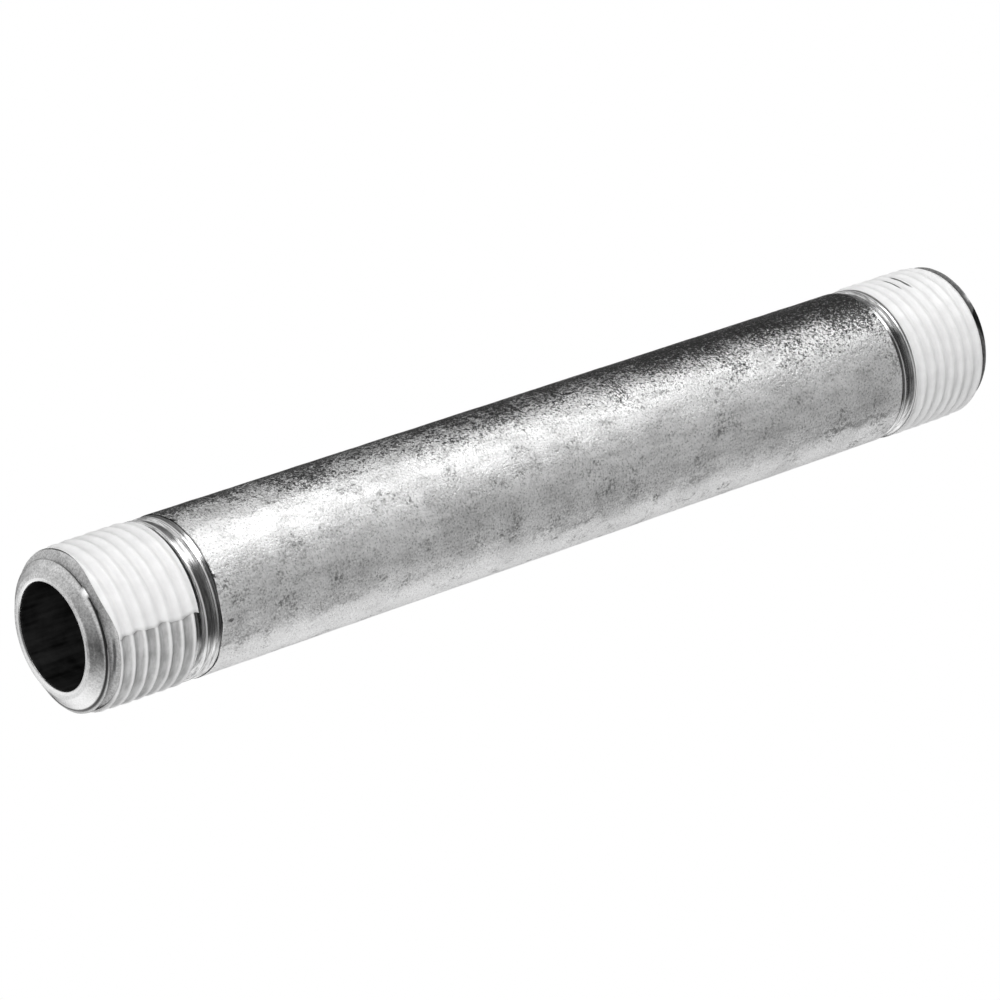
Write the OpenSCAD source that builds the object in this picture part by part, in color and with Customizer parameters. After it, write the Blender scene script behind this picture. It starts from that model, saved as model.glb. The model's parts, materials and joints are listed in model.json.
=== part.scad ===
// Threaded pipe nipple: galvanised steel pipe, taper-threaded at both ends, each thread taped.
// Millimetres. The pipe lies along +X, the origin is halfway along its centre line, +Z is up.
// "near" is the end at -X and "far" is the end at +X. A distance t runs inward from an end face.

/* [Pipe] */
// Outside diameter over the zinc
pipe_od = 21.34; // [20.9:0.01:21.8]
// Bore diameter inside the zinc
pipe_bore = 13.87; // [12:0.01:15.2]
// Overall length, end face to end face
pipe_length = 152.4; // [76.2:0.1:304.8]
// Thickness of the zinc inside and outside
zinc_thick = 0.08; // [0.05:0.01:0.12]

/* [Taper thread] */
// Threads per inch
threads_per_inch = 14; // [13:0.5:15]
// Pitch diameter at the end face
pitch_dia_at_end = 19.264; // [19.1:0.001:19.4]
// Growth of the diameter per unit of length
taper = 0.0625; // [0.05:0.0005:0.07]
// Height of the thread in pitches
thread_height_share = 0.8; // [0.7:0.01:0.82]
// Length of fully cut roots
full_thread = 13.56; // [12:0.01:14.2]
// Length over which the near thread's roots run out
near_run_out = 4.4; // [3:0.1:6.3]
// Length over which the far thread's roots run out
far_run_out = 4.6; // [3:0.1:6.3]
// Angle that the near thread is turned on by, in degrees
near_thread_angle = 29; // [0:1:360]
// Angle that the far thread is turned on by, in degrees
far_thread_angle = 209; // [0:1:360]
// How far the widest crests lie under the steel's own surface
crest_relief = 0.02; // [0.01:0.01:0.1]

/* [End faces] */
// Outside diameter of the flat lip round the bore
lip_od = 15.9; // [14.9:0.1:16.4]
// Bevel outside the lip, growth of radius per unit of length
bevel_slope = 1.42; // [1:0.01:1.8]
// Diameter of the reamed mouth of the bore at the end face
mouth_dia = 14.2; // [14.1:0.01:14.6]
// Depth of the reamed mouth
mouth_depth = 0.4; // [0.2:0.05:0.6]

/* [Thread-seal tape] */
// Width of the tape
tape_width = 12.7; // [10:0.1:13]
// Distance from the near end face to the tape
near_tape_start = 2.2; // [1.8:0.1:3]
// Distance from the far end face to the tape
far_tape_start = 2.9; // [1.8:0.1:3]
// Thickness of the wound tape
tape_thick = 0.18; // [0.1:0.01:0.4]
// Depth that the tape sags into a full root
tape_sag = 0.2; // [0:0.01:0.4]

/* [Hidden] */
inch = 25.4;
pitch = inch / threads_per_inch;
thread_height = thread_height_share * pitch;
flank_run = tan(30);
flat_half = (pitch / 2 - thread_height * flank_run) / 2;
crest_r_end = (pitch_dia_at_end + thread_height) / 2;
root_r_end = (pitch_dia_at_end - thread_height) / 2;
r_slope = taper / 2;
half_length = pipe_length / 2;
steel_r = pipe_od / 2 - zinc_thick;
bore_r = pipe_bore / 2;
steel_bore_r = bore_r + zinc_thick;
crest_cap_r = steel_r - crest_relief;
mouth_r = mouth_dia / 2;
mouth_slope = (mouth_r - bore_r) / mouth_depth;
lip_r = lip_od / 2;
barrel_from = full_thread + near_run_out - half_length;
barrel_to = half_length - full_thread - far_run_out;
joint_overlap = 1;
columns = 40;
fine = 240;
past = 1;
steel_colour = [0.62, 0.63, 0.64];
zinc_colour = [0.73, 0.75, 0.76];
bore_colour = [0.42, 0.43, 0.44];
tape_colour = [0.95, 0.95, 0.93];

// Radius of the sharp crests and roots of an endless taper thread
function taper_crest_r(t) = crest_r_end + r_slope * t;
function taper_root_r(t) = root_r_end + r_slope * t;

// Radius of the real crests, which end at the pipe's surface, and of the roots, which run out to it
function crest_r(t) = min(taper_crest_r(t), crest_cap_r);
function root_r(t, run_out) =
    let (risen = min(max((t - full_thread) / run_out, 0), 1))
    taper_root_r(min(t, full_thread)) * (1 - risen) + crest_cap_r * risen;

// Half the width of the flat on a crest, and of the flat in a root
function crest_half(t) = flat_half + (taper_crest_r(t) - crest_r(t)) * flank_run;
function root_half(t, run_out) = flat_half + (root_r(t, run_out) - taper_root_r(t)) * flank_run;

// Share of the way up from root to crest, at a distance t and an angle a from the helix's start
function ridge(t, a, run_out) =
    let (u = t / pitch - a / 360, from_crest = pitch * abs(u - floor(u) - 0.5))
    let (flank = pitch / 2 - crest_half(t) - root_half(t, run_out))
    1 - min(max((from_crest - crest_half(t)) / max(flank, flat_half), 0), 1);

// Radius of the threaded steel, with the bevel at its mouth
function thread_r(t, a, run_out) =
    let (low = root_r(t, run_out))
    min(low + (crest_r(t) - low) * ridge(t, a, run_out), lip_r + bevel_slope * t);

// Radius of the outside of the wound tape, which sags a little into the thread
function tape_r(t, a, run_out) =
    let (sag = tape_sag * (crest_r(t) - root_r(t, run_out)) / thread_height)
    crest_r(t) + tape_thick - sag * (1 - ridge(t, a, run_out));

// The corners of one turn of the thread: where each sits in the turn, and which way its flat spreads it
corners = [[0, 1], [0.5, -1], [0.5, 1], [1, -1]];

// Distances of the thread's corners at an angle a, kept between from and to
function corner_distances(from, to, a, run_out) = [
    for (turn = [floor(from / pitch - 1.5) - 1 : ceil(to / pitch) + 1], corner = corners)
        let (t = pitch * (turn + corner[0] + a / 360))
        let (half = corner[0] == 0.5 ? crest_half(t) : root_half(t, run_out))
        min(max(t + corner[1] * half, from), to)];

// Point at a distance t along +X, radius r and angle a. Counting a upward turns as a right-hand screw
function on_pipe(t, r, a) = [t, -r * sin(a), r * cos(a)];

// The points of a skin that follows the thread: one column of points for each angle round the pipe
function skin(from, to, run_out, angle, radius) = [
    for (j = [0 : columns - 1])
        let (a = 360 * (j + 0.5) / columns)
        for (t = corner_distances(from, to, a, run_out)) on_pipe(t, radius(t, a), a + angle)];

// Number of the point in row i of column j. Past the last column the grid meets the first column,
// one turn further along the helix
function grid_point(i, j, rows) =
    j < columns ? j * rows + min(max(i, 0), rows - 1) : min(i + len(corners), rows - 1);

// Faces of a skin, without those that the ends squeeze flat. Outward faces if out is true
function skin_faces(points, rows, first, out) = [
    for (j = [0 : columns - 1], i = [-len(corners) : rows - 2])
        let (a = grid_point(i, j, rows), b = grid_point(i + 1, j, rows))
        let (c = grid_point(i + 1, j + 1, rows), d = grid_point(i, j + 1, rows))
        for (face = [[a, b, c], [a, c, d]])
            let (p = points[face[0]], q = points[face[1]], r = points[face[2]])
            if (p != q && q != r && r != p)
            [for (k = out ? [0, 1, 2] : [2, 1, 0]) face[k] + first]];

// Points at one end of a skin, in order round the pipe
function rim(i, rows, first) = [for (j = [0 : columns - 1]) grid_point(i, j, rows) + first];

// A solid between two distances whose skin follows the thread
module threaded_solid(from, to, run_out, angle, radius) {
    points = skin(from, to, run_out, angle, radius);
    rows = len(points) / columns;
    start = rim(0, rows, 0);
    end = rim(rows - 1, rows, 0);
    polyhedron(points = points, faces = concat(
        skin_faces(points, rows, 0, true),
        [start, [for (j = [0 : columns - 1]) end[columns - 1 - j]]]));
}

// A sleeve between two distances whose outside and inside both follow the thread
module threaded_sleeve(from, to, run_out, angle, outer, inner) {
    outside = skin(from, to, run_out, angle, outer);
    inside = skin(from, to, run_out, angle, inner);
    count = len(outside);
    rows = count / columns;
    rims = [for (i = [0, rows - 1], j = [0 : columns - 1])
        let (a = grid_point(i, j, rows), b = rim(i, rows, 0)[(j + 1) % columns])
        i == 0 ? [a, b, b + count, a + count] : [b, a, a + count, b + count]];
    polyhedron(points = concat(outside, inside), faces = concat(
        skin_faces(outside, rows, 0, true), skin_faces(inside, rows, count, false), rims));
}

// Puts what is built with its end face at x = 0 and running along +X on the near or the far end
module at_near_end() {
    translate([-half_length, 0, 0]) children();
}

module at_far_end() {
    rotate([0, 0, 180]) at_near_end() children();
}

// A cylinder or cone along +X from x = from to x = to
module along_x(from, to, r1, r2) {
    translate([from, 0, 0]) rotate([0, 90, 0]) cylinder(h = to - from, r1 = r1, r2 = r2, $fn = fine);
}

// The reamed cone that opens the bore at an end face
module mouth_cutter() {
    along_x(-past, mouth_depth, mouth_r + mouth_slope * past, bore_r);
}

module threaded_end(run_out, angle) {
    threaded_solid(0, full_thread + run_out + joint_overlap, run_out, angle,
        function (t, a) thread_r(t, a, run_out));
}

module steel_pipe() {
    color(steel_colour) difference() {
        union() {
            at_near_end() threaded_end(near_run_out, near_thread_angle);
            at_far_end() threaded_end(far_run_out, far_thread_angle);
            along_x(barrel_from, barrel_to, steel_r, steel_r);
        }
        along_x(-half_length - past, half_length + past, steel_bore_r, steel_bore_r);
        at_near_end() mouth_cutter();
        at_far_end() mouth_cutter();
    }
}

module zinc_coat_outside() {
    color(zinc_colour) difference() {
        along_x(barrel_from, barrel_to, pipe_od / 2, pipe_od / 2);
        along_x(barrel_from - past, barrel_to + past, steel_r, steel_r);
    }
}

module zinc_coat_bore() {
    color(bore_colour) difference() {
        along_x(-half_length, half_length, steel_bore_r, steel_bore_r);
        along_x(-half_length - past, half_length + past, bore_r, bore_r);
        at_near_end() mouth_cutter();
        at_far_end() mouth_cutter();
    }
}

// Tape wound on a thread, from a distance start behind the end face
module wound_tape(start, run_out, angle) {
    color(tape_colour) threaded_sleeve(start, start + tape_width, run_out, angle,
        function (t, a) tape_r(t, a, run_out), function (t, a) tape_r(t, a, run_out) - tape_thick);
}

module near_end_tape() {
    at_near_end() wound_tape(near_tape_start, near_run_out, near_thread_angle);
}

module far_end_tape() {
    at_far_end() wound_tape(far_tape_start, far_run_out, far_thread_angle);
}

steel_pipe();
zinc_coat_outside();
zinc_coat_bore();
near_end_tape();
far_end_tape();
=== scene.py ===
import json
import math
from functools import reduce
from types import SimpleNamespace

import bpy
import numpy as np
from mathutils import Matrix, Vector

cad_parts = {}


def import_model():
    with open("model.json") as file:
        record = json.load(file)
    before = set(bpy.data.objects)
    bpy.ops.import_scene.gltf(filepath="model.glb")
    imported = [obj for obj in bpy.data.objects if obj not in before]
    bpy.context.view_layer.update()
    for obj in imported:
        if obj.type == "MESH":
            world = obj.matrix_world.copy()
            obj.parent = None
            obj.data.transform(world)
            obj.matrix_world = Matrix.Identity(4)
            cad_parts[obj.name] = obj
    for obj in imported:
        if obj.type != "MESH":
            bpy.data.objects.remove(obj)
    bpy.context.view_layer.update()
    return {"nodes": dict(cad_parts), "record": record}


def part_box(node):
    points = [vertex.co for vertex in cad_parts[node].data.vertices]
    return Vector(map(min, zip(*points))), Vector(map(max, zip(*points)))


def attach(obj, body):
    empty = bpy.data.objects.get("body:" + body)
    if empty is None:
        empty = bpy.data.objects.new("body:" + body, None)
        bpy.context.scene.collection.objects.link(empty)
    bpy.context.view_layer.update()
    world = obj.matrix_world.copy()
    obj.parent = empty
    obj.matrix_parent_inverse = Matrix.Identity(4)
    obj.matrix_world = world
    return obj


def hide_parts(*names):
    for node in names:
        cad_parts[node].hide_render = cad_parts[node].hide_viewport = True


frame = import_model()

# A galvanised pipe nipple with a taped taper thread at each end. The pipe lies along X. Sizes are in
# millimetres until a mesh, a light or the camera is made, and angles in degrees; a noise's scale is
# per metre. A distance t runs inward from an end face, and an angle a turns round the pipe from the
# top towards the camera's side.
MM = 0.001

# ---- Sizes that come from the frame ----
MOUNTS = {mount["name"]: mount for mount in frame["record"]["mounts"]}
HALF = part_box("steel_pipe")[1].x / MM
OUTER_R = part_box("zinc_coat_outside")[1].z / MM
BORE_R = MOUNTS["bore"]["dims"]["r_mm"]
ZINC_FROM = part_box("zinc_coat_outside")[0].x / MM
ZINC_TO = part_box("zinc_coat_outside")[1].x / MM
ZINC_THICKNESS = 0.08
STEEL_R = OUTER_R - ZINC_THICKNESS
STEEL_BORE_R = BORE_R + ZINC_THICKNESS
FLOOR_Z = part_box("near_end_tape")[0].z / MM

# ---- The taper thread, with radii as they are at the end face ----
PITCH = 25.4 / 14
PITCH_R = 9.632
THREAD_HEIGHT = 0.8 * PITCH
FLANK_RUN = math.tan(math.radians(30))
FLAT_HALF = (PITCH / 2 - THREAD_HEIGHT * FLANK_RUN) / 2
TAPER = 1 / 32
CREST_R = PITCH_R + THREAD_HEIGHT / 2
ROOT_R = PITCH_R - THREAD_HEIGHT / 2
FULL_THREAD = 13.56
# The real crests are cut off at the pipe's own surface. Here they stop just under it.
CREST_CAP_R = STEEL_R - 0.02

# ---- The flat lip, the bevel outside it and the reamed mouth inside it ----
LIP_R = 7.95
BEVEL_SLOPE = 1.42
MOUTH_R = 7.1
MOUTH_DEPTH = 0.4


def pipe_end(side, thread_angle, zinc_edge, tape):
    """Facts of one end. side is -1 at the near end and 1 at the far end."""
    reach = sorted(HALF - side * corner.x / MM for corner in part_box(tape))
    return SimpleNamespace(
        side=side, thread_angle=thread_angle, run_out=HALF - side * zinc_edge - FULL_THREAD,
        tape_from=reach[0], tape_to=reach[1])


NEAR = pipe_end(-1, 29, ZINC_FROM, "near_end_tape")
FAR = pipe_end(1, 209, ZINC_TO, "far_end_tape")


# ---- The steel's shape and wear, at a distance t and an angle a ----
def taper_crest(t):
    return CREST_R + TAPER * t


def root(t, end):
    risen = np.clip((t - FULL_THREAD) / end.run_out, 0, 1)
    low = ROOT_R + TAPER * np.minimum(t, FULL_THREAD)
    return low * (1 - risen) + CREST_CAP_R * risen


def across_thread(t, a, end):
    """0 in the middle of a crest to 1 in the middle of a groove."""
    turns = t / PITCH - (a - end.thread_angle) / 360
    return 2 * np.abs(turns - np.floor(turns) - 0.5)


def thread(t, a, end):
    """Radius of the cut thread."""
    from_crest = across_thread(t, a, end) * PITCH / 2
    sharp = taper_crest(t) - np.maximum(from_crest - FLAT_HALF, 0) / FLANK_RUN
    return np.minimum(np.maximum(sharp, root(t, end)), CREST_CAP_R)


def painted_crest_highlight(t, a, end):
    """Where a highlight is painted: 1 on the flat top of a crest, and 0 where the thread has run out."""
    high = np.clip(1.6 - across_thread(t, a, end) / 0.14, 0, 1)
    return high * np.clip((FULL_THREAD + end.run_out - t) / 0.3 - 1, 0, 1)


def painted_groove_shade(t, a, end):
    """Painted shade in the grooves: 1 low in a deep groove, less where the thread runs out."""
    low = np.clip((across_thread(t, a, end) - 0.5) / 0.3, 0, 1)
    return low * np.clip((CREST_CAP_R - thread(t, a, end)) / 0.5, 0, 1)


def end_steel(t, a, end):
    """Radius of the steel near an end, with the bevel at its mouth."""
    return np.minimum(thread(t, a, end), LIP_R + BEVEL_SLOPE * t)


# ---- Points and meshes ----
def waves(points, size, seed, count=28):
    """A smooth random field of about -1 to 1, with bumps about `size` across."""
    random = np.random.default_rng(seed)
    ways = random.normal(size=(count, 3))
    ways /= np.linalg.norm(ways, axis=1, keepdims=True)
    ways *= 2 * math.pi / size * random.uniform(0.6, 1.3, (count, 1))
    phases = random.uniform(0, 2 * math.pi, count)
    flat = points.reshape(-1, 3) @ ways.T + phases
    return np.sin(flat).sum(axis=1).reshape(points.shape[:-1]) * 0.8 / math.sqrt(count / 2)


def round_pipe(x, r, a):
    """Points at x along the pipe, radius r and angle a in degrees, all broadcast together."""
    turn = np.radians(a)
    x, y, z = np.broadcast_arrays(x, -r * np.sin(turn), r * np.cos(turn))
    return np.stack([x, y, z], axis=-1)


def grid_mesh(name, points, close_columns, material):
    """A closed mesh from a grid of points in millimetres, whose last row meets its first.

    The columns meet too, or else the first and last columns are closed with end faces.
    """
    rows, columns = points.shape[:2]
    number = np.arange(rows * columns).reshape(rows, columns)
    ring = np.vstack([number, number[:1]])
    if close_columns:
        ring = np.hstack([ring, ring[:, :1]])
    quads = np.stack([ring[:-1, :-1], ring[:-1, 1:], ring[1:, 1:], ring[1:, :-1]], axis=-1)
    quads = quads.reshape(-1, 4)
    if not close_columns:
        first_half = number[: rows // 2]
        last_half = number[rows // 2:][::-1]
        for edge, step in ((0, 1), (-1, -1)):
            corners = (first_half[:-1, edge], first_half[1:, edge],
                       last_half[1:, edge], last_half[:-1, edge])
            quads = np.concatenate([quads, np.stack(corners, axis=-1)[:, ::step]])
    mesh = bpy.data.meshes.new(name)
    mesh.from_pydata((points.reshape(-1, 3) * MM).tolist(), [], quads.tolist())
    mesh.validate()
    mesh.shade_smooth()
    mesh.materials.append(material)
    piece = bpy.data.objects.new(name, mesh)
    bpy.context.collection.objects.link(piece)
    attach(piece, "root")
    return piece


def paint(piece, name, *rows):
    """Stores one number for each point of a grid mesh, from blocks of rows in the grid's order."""
    made = piece.data.attributes.new(name, "FLOAT", "POINT")
    made.data.foreach_set("value", np.concatenate(rows).astype(np.float32).ravel())


def steps(*stretches):
    """Distances from (from, to, spacing) stretches that follow each other."""
    parts = [np.arange(start, stop - gap / 2, gap) for start, stop, gap in stretches]
    return np.concatenate(parts + [[stretches[-1][1]]])


# ---- Materials ----
class Nodes:
    """Adds shader nodes to a tree. Inputs are values or other nodes' outputs."""

    def __init__(self, tree):
        self.tree = tree
        tree.nodes.clear()

    def add(self, kind, inputs=None, **settings):
        made = self.tree.nodes.new("ShaderNode" + kind)
        for key, value in settings.items():
            setattr(made, key, value)
        for key, value in (inputs or {}).items():
            socket = made.inputs[key]
            if isinstance(value, bpy.types.NodeSocket):
                self.tree.links.new(value, socket)
            else:
                socket.default_value = value
        return made

    def math(self, operation, a, b=0.0):
        return self.add("Math", {0: a, 1: b}, operation=operation).outputs[0]

    def vector(self, operation, a, b):
        return self.add("VectorMath", {0: a, 1: b}, operation=operation).outputs[0]

    def times(self, *factors):
        return reduce(lambda a, b: self.math("MULTIPLY", a, b), factors)

    def highest(self, *values):
        return reduce(lambda a, b: self.math("MAXIMUM", a, b), values)

    def blend(self, *shares):
        """Adds (value, weight) pairs."""
        total = 0.0
        for value, weight in shares:
            made = self.add("Math", {0: value, 1: weight, 2: total}, operation="MULTIPLY_ADD")
            total = made.outputs[0]
        return total

    def spread(self, value, low, high, to_low=0.0, to_high=1.0):
        """Maps value from low..high to to_low..to_high, and stops at both ends."""
        made = self.add("MapRange", {"Value": value, "From Min": low, "From Max": high,
                                     "To Min": to_low, "To Max": to_high})
        return made.outputs["Result"]

    def distance(self, value, middle):
        return self.math("ABSOLUTE", self.math("SUBTRACT", value, middle))

    def near(self, value, middle, faint, full, most=1.0):
        """most up to a distance of full from the middle, falling to 0 at a distance of faint."""
        return self.spread(self.distance(value, middle), faint, full, 0.0, most)

    def noise(self, where, scale, detail=4.0, rough=0.55, stretch=None):
        if stretch:
            where = self.add("Mapping", {"Vector": where, "Scale": stretch}).outputs[0]
        inputs = {"Vector": where, "Scale": scale, "Detail": detail, "Roughness": rough}
        return self.add("TexNoise", inputs).outputs["Fac"]

    def swing(self, noise, width):
        """Turns a noise round 0.5 into one round 0, with its range stretched to width."""
        return self.math("MULTIPLY", self.math("SUBTRACT", noise, 0.5), width)

    def painted(self, name):
        return self.add("Attribute", attribute_name=name).outputs["Fac"]

    def ramp(self, value, *stops):
        """Greys from (value, grey) stops."""
        made = self.add("ValToRGB", {"Fac": value})
        colours = made.color_ramp.elements
        while len(colours) < len(stops):
            colours.new(0.5)
        for element, (place, tone) in zip(colours, stops):
            element.position = place
            element.color = grey(tone)
        return made.outputs["Color"]

    def cover(self, colour, *layers):
        """Lays (share, colour) layers over a colour, the last on top."""
        for share, top in layers:
            colour = self.add("Mix", {0: share, 6: colour, 7: top}, data_type="RGBA").outputs[2]
        return colour

    def bump(self, height, distance, strength):
        inputs = {"Height": height, "Distance": distance * MM, "Strength": strength}
        return self.add("Bump", inputs).outputs["Normal"]


def grey(tone):
    return (tone, tone, tone, 1)


def new_material(name):
    """A material, its nodes, and the place on the object in metres for its textures."""
    made = bpy.data.materials.new(name)
    made.use_nodes = True
    nodes = Nodes(made.node_tree)
    return made, nodes, nodes.add("TexCoord").outputs["Object"]


def finish_material(nodes, inputs):
    shader = nodes.add("BsdfPrincipled", inputs)
    nodes.add("OutputMaterial", {"Surface": shader.outputs[0]})


def place_on_pipe(nodes, where):
    """For a shader: millimetres along the pipe and from its middle line, and the angle in degrees."""
    x, y, z = nodes.add("SeparateXYZ", {0: where}).outputs
    across = nodes.add("CombineXYZ", {1: y, 2: z}).outputs[0]
    radius = nodes.add("VectorMath", {0: across}, operation="LENGTH").outputs["Value"]
    turn = nodes.math("ARCTAN2", nodes.times(y, -1), z)
    return nodes.times(x, 1 / MM), nodes.times(radius, 1 / MM), nodes.times(turn, 180 / math.pi)


# A dark band is painted along the top of the zinc as a painted dark reflection. It runs along the pipe
# from the first to the second number below, and each pair holds degrees at these two places.
DARK_TOP_FROM = -55
DARK_TOP_TO = 58
DARK_TOP_MIDDLE = (-29, -3)
DARK_TOP_HALF_WIDTH = (27, 42)


def zinc_outside():
    """Semi-bright zinc with a fine grain and clusters of pits, a painted dark reflection along the top,
    and painted light and shade low on each side.
    """
    material, nodes, where = new_material("zinc_outside")
    along, _, angle = place_on_pipe(nodes, where)
    grain = nodes.noise(where, 3400, 2, 0.8)
    specks = nodes.noise(where, 2300, 4, 0.75)
    clouds = nodes.noise(where, 150, 5, 0.65)
    streaks = nodes.noise(where, 1, 5, 0.65, stretch=(200, 900, 900))
    tone = nodes.blend((grain, 0.42), (clouds, 0.33), (streaks, 0.25))
    colour = nodes.ramp(tone, (0.38, 0.4), (0.49, 0.72), (0.58, 0.95))

    # The painted dark reflection along the top has a ragged edge and light flecks. Within says how many
    # degrees inside it a place is.
    middle = nodes.spread(along, DARK_TOP_FROM, DARK_TOP_TO, *DARK_TOP_MIDDLE)
    half_width = nodes.spread(along, DARK_TOP_FROM, DARK_TOP_TO, *DARK_TOP_HALF_WIDTH)
    within = nodes.math("SUBTRACT", half_width, nodes.distance(angle, middle))
    ragged = nodes.swing(clouds, 95)
    torn = nodes.swing(nodes.noise(where, 2500, 4, 0.85), 230)
    inside = nodes.math("ADD", within, nodes.math("ADD", ragged, torn))
    dark_top_reflection = nodes.times(nodes.spread(inside, -3, 5), nodes.spread(within, -30, -10))
    flecks = nodes.blend((nodes.noise(where, 2600, 3, 0.9), 1), (nodes.spread(within, 0, 30), -0.05))
    dark_top_tone = nodes.ramp(flecks, (0.45, 0.008), (0.53, 0.04), (0.59, 0.9))

    # Fine cracks, in warped cells along the edge of the painted dark band at the top.
    pull = nodes.add("TexNoise", {"Vector": where, "Scale": 500.0, "Detail": 3.0}).outputs["Color"]
    warped = nodes.vector("ADD", where, nodes.vector("MULTIPLY", pull, (1.6 * MM, 1.6 * MM, 1.6 * MM)))
    cells = nodes.add("TexVoronoi", {"Vector": warped, "Scale": 480.0}, feature="DISTANCE_TO_EDGE")
    cracks = nodes.times(nodes.spread(cells.outputs["Distance"], 0.09, 0.02),
                         nodes.near(within, 0, 26, 4, 0.6), nodes.spread(clouds, 0.48, 0.58))

    # A faint broken dark streak low on each side, a painted dark reflection, with the zinc below it
    # painted lighter as a painted reflection of the bright floor.
    drift = nodes.swing(nodes.noise(where, 90, 5, 0.7), 60)
    low_down = nodes.math("SUBTRACT", nodes.math("ADD", nodes.math("ABSOLUTE", angle), drift), 105)
    painted_dark_streak = nodes.times(nodes.near(low_down, 0, 5, 0.5),
                         nodes.spread(nodes.blend((streaks, 0.4), (specks, 0.6)), 0.47, 0.54),
                         nodes.spread(nodes.noise(where, 60, 3, 0.6), 0.46, 0.6))

    clusters = nodes.spread(nodes.noise(where, 240, 4, 0.7), 0.54, 0.64)
    pits = nodes.times(clusters, nodes.spread(specks, 0.48, 0.58))
    # The dark marks: real pits and cracks, together with the painted dark streak.
    pits = nodes.highest(pits, cracks, painted_dark_streak)
    colour = nodes.cover(colour, (nodes.times(dark_top_reflection, 0.96), dark_top_tone),
                         (nodes.spread(low_down, 0, 5, 0, 0.5), grey(0.97)),
                         (nodes.times(pits, 0.75), grey(0.09)))
    height = nodes.blend((grain, 1), (specks, 0.9), (pits, -0.35))
    finish_material(nodes, {"Base Color": colour, "Metallic": nodes.spread(dark_top_reflection, 0, 1, 0.5, 0.95),
                            "Roughness": nodes.spread(grain, 0.35, 0.65, 0.26, 0.44),
                            "Normal": nodes.bump(height, 0.09, 1.0)})
    return material


def cut_steel():
    """Freshly cut steel: scores round the pipe and torn end bevels, with a painted highlight on the
    crests and painted shade in the grooves.
    """
    material, nodes, where = new_material("cut_steel")
    along, radius, angle = place_on_pipe(nodes, where)
    from_end = nodes.math("SUBTRACT", HALF, nodes.math("ABSOLUTE", along))
    crest = nodes.painted("crest")
    turning = nodes.noise(where, 1, 3, 0.6, stretch=(14000, 60, 60))
    torn = nodes.noise(where, 3600, 3, 0.75)
    clouds = nodes.noise(where, 500, 4, 0.6)
    scores = nodes.noise(where, 1, 4, 0.7, stretch=(7000, 350, 350))
    tone = nodes.blend((torn, 0.65), (clouds, 0.35))

    # The bevelled end, its lower part painted lighter as a painted reflection of the bright floor, and
    # the bright ring beside the bore.
    bevel = nodes.spread(from_end, 1.5, 1.1)
    painted_low_bevel_light = nodes.times(bevel, nodes.spread(nodes.math("ABSOLUTE", angle), 100, 135, 0, 0.6))
    ring = nodes.times(bevel, nodes.spread(radius, LIP_R - 0.42, LIP_R - 0.54))

    # Painted shade: a black line behind the bevel, which widens round 52 degrees, and a thin painted
    # shadow of the tape's edge behind it at 90 degrees.
    wider = nodes.times(nodes.spread(angle, 43, 52, 0, 0.6), nodes.spread(angle, 82, 52))
    line = nodes.times(nodes.spread(from_end, 1.12, 1.22),
                       nodes.spread(nodes.math("SUBTRACT", from_end, wider), 1.5, 1.35))
    painted_tape_shadow = nodes.times(nodes.near(from_end, 2.55, 0.15, 0.06), nodes.near(angle, 90, 20, 10, 0.8))
    painted_black_shade = nodes.highest(line, painted_tape_shadow)

    # A painted dark reflection and a painted glint, a white spot, on the bevel, and a darker band on the
    # first crest that is darker again at the far end.
    painted_dark_reflection = nodes.times(nodes.near(angle, 82, 16, 4), nodes.spread(clouds, 0.4, 0.6, 0.2, 0.8))
    painted_glint = nodes.times(nodes.near(angle, 37, 5, 1.5), nodes.near(from_end, 1.35, 0.5, 0.15))
    first_crest_band = nodes.times(nodes.spread(from_end, 1.1, 1.6), nodes.spread(from_end, 3.4, 2.9))
    first_crest_tone = nodes.times(nodes.spread(along, -10, 10, 1.0, 0.45),
                            nodes.spread(tone, 0.4, 0.6, 0.3, 0.62))

    colour = nodes.cover(nodes.ramp(scores, (0.38, 0.28), (0.62, 0.85)),
                         # painted shade in the grooves
                         (nodes.times(nodes.painted("groove"), 0.3), grey(0.05)),
                         # painted highlight on the crests, then the darker band on the first crest
                         (crest, grey(0.85)), (first_crest_band, first_crest_tone),
                         (bevel, nodes.ramp(tone, (0.36, 0.36), (0.5, 0.6), (0.62, 0.84))),
                         (painted_low_bevel_light, grey(0.95)), (nodes.times(painted_dark_reflection, bevel), grey(0.12)),
                         (painted_black_shade, grey(0.01)), (painted_glint, grey(1)),
                         (ring, nodes.ramp(tone, (0.38, 0.8), (0.5, 0.97), (0.6, 1.0))))
    rough = nodes.blend((nodes.spread(clouds, 0.35, 0.65, 0.17, 0.27), 1), (bevel, 0.1), (first_crest_band, 0.15))
    height = nodes.blend((turning, 0.35), (nodes.times(torn, bevel), 0.8))
    dull = nodes.blend((first_crest_band, 0.7), (crest, 0.55), (painted_black_shade, 1), (painted_glint, 1))
    finish_material(nodes, {"Base Color": colour, "Metallic": nodes.spread(dull, 0, 1, 1, 0),
                            "Roughness": rough, "Normal": nodes.bump(height, 0.06, 0.6)})
    return material


def zinc_bore():
    """Zinc in the bore, painted near-black as painted shade, dull, with runs along the bore."""
    material, nodes, where = new_material("zinc_bore")
    clouds = nodes.noise(where, 350, 5, 0.6)
    runs = nodes.noise(where, 1, 4, 0.6, stretch=(120, 1200, 1200))
    colour = nodes.ramp(nodes.blend((clouds, 0.5), (runs, 0.5)), (0.38, 0.004), (0.62, 0.022))
    finish_material(nodes, {"Base Color": colour, "Metallic": 0.0,
                            "Roughness": nodes.spread(clouds, 0.35, 0.65, 0.55, 0.8),
                            "Normal": nodes.bump(clouds, 0.2, 0.6), "Specular IOR Level": 0.12})
    return material


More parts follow.
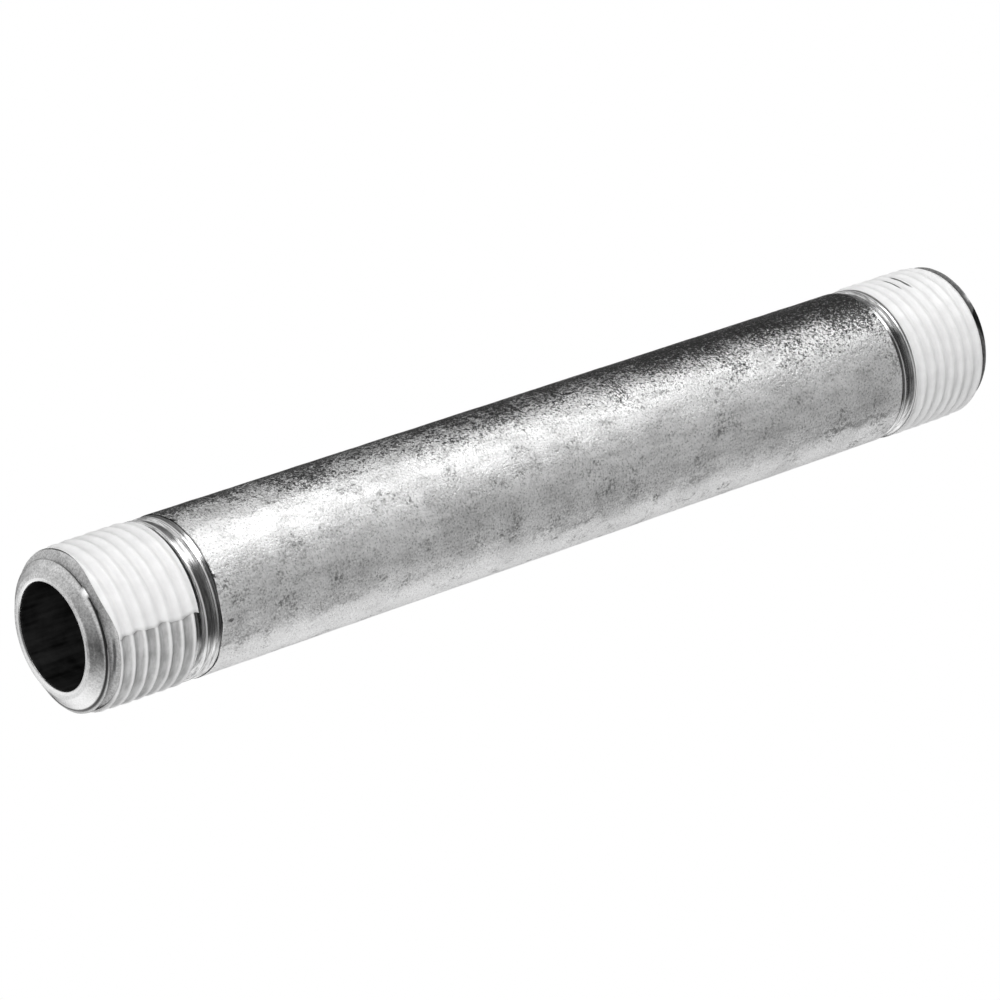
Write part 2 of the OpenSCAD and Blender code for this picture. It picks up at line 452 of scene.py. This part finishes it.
def seal_tape():
    """White film: waxy, and see-through where only one or two layers lie over a groove."""
    material, nodes, where = new_material("seal_tape")
    valley = nodes.painted("valley")
    film = nodes.noise(where, 1, 4, 0.6, stretch=(1500, 260, 260))
    clouds = nodes.noise(where, 420, 4, 0.6)
    thin = nodes.spread(nodes.painted("layers"), 2.5, 2.0)
    through = nodes.times(thin, nodes.spread(valley, 0.05, 0.5, 0.1, 0.9))
    steel_below = nodes.ramp(nodes.blend((film, 0.6), (clouds, 0.4)), (0.4, 0.3), (0.6, 0.56))
    colour = nodes.cover(nodes.ramp(clouds, (0.35, 0.84), (0.65, 0.92)),
                         (nodes.spread(valley, 0.3, 1.0, 0, 0.25), grey(0.55)), (through, steel_below),
                         # The slits are real splits; their near-black colour is painted shade inside
                         # them.
                         (nodes.spread(nodes.painted("slit"), 0.3, 0.7), grey(0.05)))
    finish_material(nodes, {"Base Color": colour, "Metallic": 0.0,
                            "Roughness": nodes.spread(film, 0.3, 0.7, 0.3, 0.5),
                            "Normal": nodes.bump(film, 0.08, 0.7),
                            "Subsurface Weight": 0.15, "Subsurface Radius": (MM, MM, MM),
                            "Subsurface Scale": 0.3, "IOR": 1.38})
    return material


def pale_floor():
    material, nodes, _ = new_material("pale_floor")
    glow = nodes.add("Emission", {"Color": grey(1), "Strength": 1.0})
    nodes.add("OutputMaterial", {"Surface": glow.outputs[0]})
    return material


# ---- The steel pipe, one closed mesh with both threads ----
def steel_pipe():
    columns = 200
    a = np.arange(columns) * 360 / columns
    t = steps((0, 2.9, 0.06), (2.9, 14.0, 0.16), (14.0, 19.4, 0.055))[:, None]
    near = round_pipe(t - HALF, end_steel(t, a, NEAR), a)
    far = round_pipe(HALF - t, end_steel(t, -a, FAR), a)[::-1]
    depth = np.array([0, 0.1, 0.2, 0.4, 4])[:, None]
    reamed = np.maximum(MOUTH_R + (BORE_R - MOUTH_R) * depth / MOUTH_DEPTH, STEEL_BORE_R)
    far_bore = round_pipe(HALF - depth, reamed, a)
    near_bore = round_pipe(depth - HALF, reamed, a)[::-1]
    rings = np.concatenate([near, far, far_bore, near_bore])
    piece = grid_mesh("nipple_steel", rings, True, cut_steel())
    plain_bore = np.zeros((2 * len(depth), columns))
    # The groove numbers mark painted shade, and the crest numbers a painted highlight.
    paint(piece, "groove", painted_groove_shade(t, a, NEAR), painted_groove_shade(t, -a, FAR)[::-1], plain_bore)
    paint(piece, "crest", painted_crest_highlight(t, a, NEAR), painted_crest_highlight(t, -a, FAR)[::-1], plain_bore)
    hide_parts("steel_pipe")


# ---- The zinc ----
def zinc_skin():
    """The outside zinc, with low bumps and a ragged edge at each end."""
    columns = 220
    a = np.arange(columns) * 360 / columns
    x = steps((ZINC_FROM, ZINC_TO, 0.3))[:, None]
    middle_r = OUTER_R - 0.02
    smooth = round_pipe(x, middle_r, a)
    bumps = 0.6 * waves(smooth, 7, 1) + 0.4 * waves(smooth, 2.2, 2)
    to_edge = np.minimum(x - ZINC_FROM, ZINC_TO - x)
    ragged = 0.07 * np.exp(-to_edge) * (1 + waves(round_pipe(x * 0, OUTER_R, a), 5, 3))
    ragged = np.clip(ragged, 0, 0.16) * np.sign(-x)
    skin = round_pipe(x + ragged, middle_r + 0.018 * np.clip(bumps, -1.6, 1), a)
    inner_x = x[::-40]
    inner = round_pipe(inner_x, np.full_like(inner_x, STEEL_R), a)
    piece = grid_mesh("zinc_skin", np.concatenate([skin, inner]), True, zinc_outside())
    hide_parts("zinc_coat_outside")


def bore_lining():
    """The zinc in the bore keeps its CAD shape and gets a near-black look that is painted shade."""
    materials = frame["nodes"]["zinc_coat_bore"].data.materials
    materials.clear()
    materials.append(zinc_bore())


# ---- The thread-seal tape: one strip of film wound round each thread, outer end last ----
# Each turn lies FILM above the last, and the strip is a little thinner than that.
FILM = 0.055
STRIP_THICKNESS = 0.8 * FILM
TAPE_WIDTH = 12.7
STEPS_PER_TURN = 120
STEPS_ACROSS = 118
SMOOTHING = 9


def wound_tape(name, end, node, material, turns, outer_end, front, rear, sag, crisp, creases, slits=()):
    """Winds a strip whose outer end is at the angle outer_end.

    front, rear, sag and crisp are (turns back from the outer end, value) pairs. front and rear place
    the strip's two edges, as distances inward from those of the CAD tape. sag is how far it dips into
    the grooves, crisp how closely it follows the thread, from 0 to 1, and creases how high its
    creases are. Each slit is a dark split along a groove, as (distance from the end face, width,
    middle angle, reach in degrees).
    """
    wrap = np.linspace(0, turns, int(STEPS_PER_TURN * turns))
    left = turns - wrap

    def along(pairs):
        """Values for each step of the strip, with the corners between the pairs rounded off."""
        back, values = zip(*pairs)
        padded = np.pad(np.interp(left, back, values), SMOOTHING // 2, mode="edge")
        return np.convolve(padded, np.full(SMOOTHING, 1 / SMOOTHING), mode="valid")

    share = np.linspace(0, 1, STEPS_ACROSS)[:, None]
    frayed = waves(share[:, :, None] * (TAPE_WIDTH, 0, 0), 2.5, 13) * np.exp(-left / 0.02)
    a = outer_end - 360 * left + frayed
    front_edge = end.tape_from + along(front)
    rear_edge = end.tape_to + along(rear)
    t = front_edge + (rear_edge - front_edge) * share
    from_crest = across_thread(t, a, end)
    tight = 1 - (1 - np.clip((from_crest - 0.12) / 0.88, 0, 1)) ** 2
    loose = (1 - np.cos(math.pi * from_crest)) / 2
    dip = tight * along(crisp) + loose * (1 - along(crisp))
    crest = np.minimum(taper_crest(t), CREST_CAP_R)
    place = round_pipe(end.side * (HALF - t), crest, -end.side * a)
    rumple = 0.016 * waves(place, 1.6, 11) + creases * waves(place * (1, 0.25, 0.25), 0.55, 12)
    flat_edges = np.clip(np.minimum(share, 1 - share) / 0.03, 0, 1)
    slit = np.zeros_like(t)
    for where, width, middle, reach in slits:
        round_from = np.abs((a - middle + 180) % 360 - 180)
        open_to = np.clip(1.6 - 1.6 * round_from / reach, 0, 1)
        slit = np.maximum(slit, open_to * np.exp(-(((t - where) / width) ** 2)))
    top = crest - along(sag) * dip + FILM * (wrap + 1) + rumple * flat_edges - 0.1 * slit
    over = round_pipe(end.side * (HALF - t), top, -end.side * a)
    under = round_pipe(end.side * (HALF - t), top - STRIP_THICKNESS, -end.side * a)
    piece = grid_mesh(name, np.concatenate([under, over[::-1]]), False, material)
    layers = np.broadcast_to(np.floor(wrap) + 1, t.shape)
    paint(piece, "layers", layers, layers[::-1])
    paint(piece, "valley", dip, dip[::-1])
    paint(piece, "slit", slit, slit[::-1])
    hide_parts(node)


def tapes():
    material = seal_tape()
    wound_tape("near_tape", NEAR, "near_end_tape", material, turns=2.42, outer_end=76,
               front=[(0, 0.9), (0.05, 0.15), (0.09, -0.2), (0.13, 0), (0.18, 0.4), (0.3, 0.4),
                      (0.85, 0.6), (1, 1), (2.42, 0.6)],
               rear=[(0, 0), (0.9, -0.7), (2.42, -0.5)],
               sag=[(0, 0.3), (0.5, 0.34), (0.9, 0.5), (2.42, 0.6)],
               crisp=[(0, 0.3), (0.5, 0.35), (0.9, 0.95), (2.42, 1)], creases=0.012)
    wound_tape("far_tape", FAR, "far_end_tape", material, turns=3.3, outer_end=130,
               front=[(0, -0.2), (0.36, -0.2), (0.5, -0.1), (0.63, -0.35), (0.75, -0.5), (1, -0.1),
                      (1.4, 0.4), (3.3, 0.4)],
               rear=[(0, -0.1), (1, 0), (3.3, -0.3)],
               sag=[(0, 0.26), (1, 0.32), (3.3, 0.6)],
               crisp=[(0, 0.1), (1, 0.2), (3.3, 1)], creases=0.028,
               slits=[(9.0, 0.22, -1, 17), (10.65, 0.2, -1, 15), (12.3, 0.14, 3, 9)])


# ---- Floor, lights and camera ----
def floor():
    """A white floor that is seen but neither lights the pipe nor shows in it."""
    size = 3000
    mesh = bpy.data.meshes.new("floor")
    corners = [(-size, -size), (size, -size), (size, size), (-size, size)]
    mesh.from_pydata([(x * MM, y * MM, FLOOR_Z * MM) for x, y in corners], [], [(0, 1, 2, 3)])
    mesh.materials.append(pale_floor())
    made = bpy.data.objects.new("floor", mesh)
    bpy.context.collection.objects.link(made)
    made.visible_glossy = False
    made.visible_diffuse = False


def area_light(name, place, size, power):
    """A rectangular light, in watts, that faces the middle of the pipe."""
    data = bpy.data.lights.new(name, "AREA")
    data.shape = "RECTANGLE"
    data.size = size[0] * MM
    data.size_y = size[1] * MM
    data.energy = power
    made = bpy.data.objects.new(name, data)
    made.location = [c * MM for c in place]
    made.rotation_euler = (-Vector(place)).to_track_quat("-Z", "Y").to_euler()
    bpy.context.collection.objects.link(made)
    return made


def lights():
    """The wing only adds gloss, and the side light adds none."""
    area_light("overhead_softbox", place=(235, -50, 400), size=(270, 260), power=0.93)
    wing = area_light("overhead_wing", place=(-10, -50, 400), size=(200, 260), power=0.42)
    wing.visible_diffuse = False
    side = area_light("side_softbox", place=(-500, -380, 300), size=(260, 260), power=2.4)
    side.visible_glossy = False


def world():
    """A pale room for soft light, a studio with dark parts for gloss, and white behind the pipe."""
    made = bpy.data.worlds.new("studio")
    made.use_nodes = True
    nodes = Nodes(made.node_tree)
    ray = nodes.add("LightPath")
    x, y, z = nodes.add("SeparateXYZ", {0: nodes.add("TexCoord").outputs["Generated"]}).outputs

    # What gloss shows: a lit wall on the left, a table, a bright floor and a faint back.
    wall = nodes.times(nodes.spread(x, 0.35, -0.25), nodes.spread(y, -0.4, 0.5, 0.15, 1.0), 0.85)
    wall = nodes.math("ADD", wall, 0.04)
    table = nodes.times(nodes.spread(x, -0.1, -0.35), nodes.spread(y, 0.1, 0.4),
                        nodes.spread(z, 0.1, -0.2, 0.0, 0.9))
    below = nodes.spread(z, -0.62, -0.78, 0.0, 1.15)
    behind = nodes.spread(y, 0.1, 0.4, 0.0, 0.15)
    studio = nodes.highest(wall, table, below, behind)

    room = nodes.math("ADD", nodes.spread(z, 0.3, -0.5, 0.44, 0.66), nodes.spread(y, 0.1, 0.8, 0.0, 0.3))
    seen = nodes.cover(room, (ray.outputs["Is Glossy Ray"], studio),
                       (ray.outputs["Is Camera Ray"], grey(1)))
    nodes.add("OutputWorld", {0: nodes.add("Background", {"Color": seen}).outputs[0]})
    bpy.context.scene.world = made


def camera():
    azimuth = math.radians(50.184)
    elevation = math.radians(24.041)
    distance = 626.0
    target = np.array([-3.74, 1.43, -2.88])
    back = np.array([-math.cos(elevation) * math.cos(azimuth),
                     -math.cos(elevation) * math.sin(azimuth), math.sin(elevation)])
    data = bpy.data.cameras.new("camera")
    data.lens = 171.46
    data.sensor_width = 36
    made = bpy.data.objects.new("camera", data)
    made.location = (target + back * distance) * MM
    made.rotation_euler = Vector(-back).to_track_quat("-Z", "Y").to_euler()
    bpy.context.collection.objects.link(made)
    bpy.context.scene.camera = made


steel_pipe()
zinc_skin()
bore_lining()
tapes()
floor()
lights()
world()
camera()
bpy.context.scene.view_settings.view_transform = "Standard"
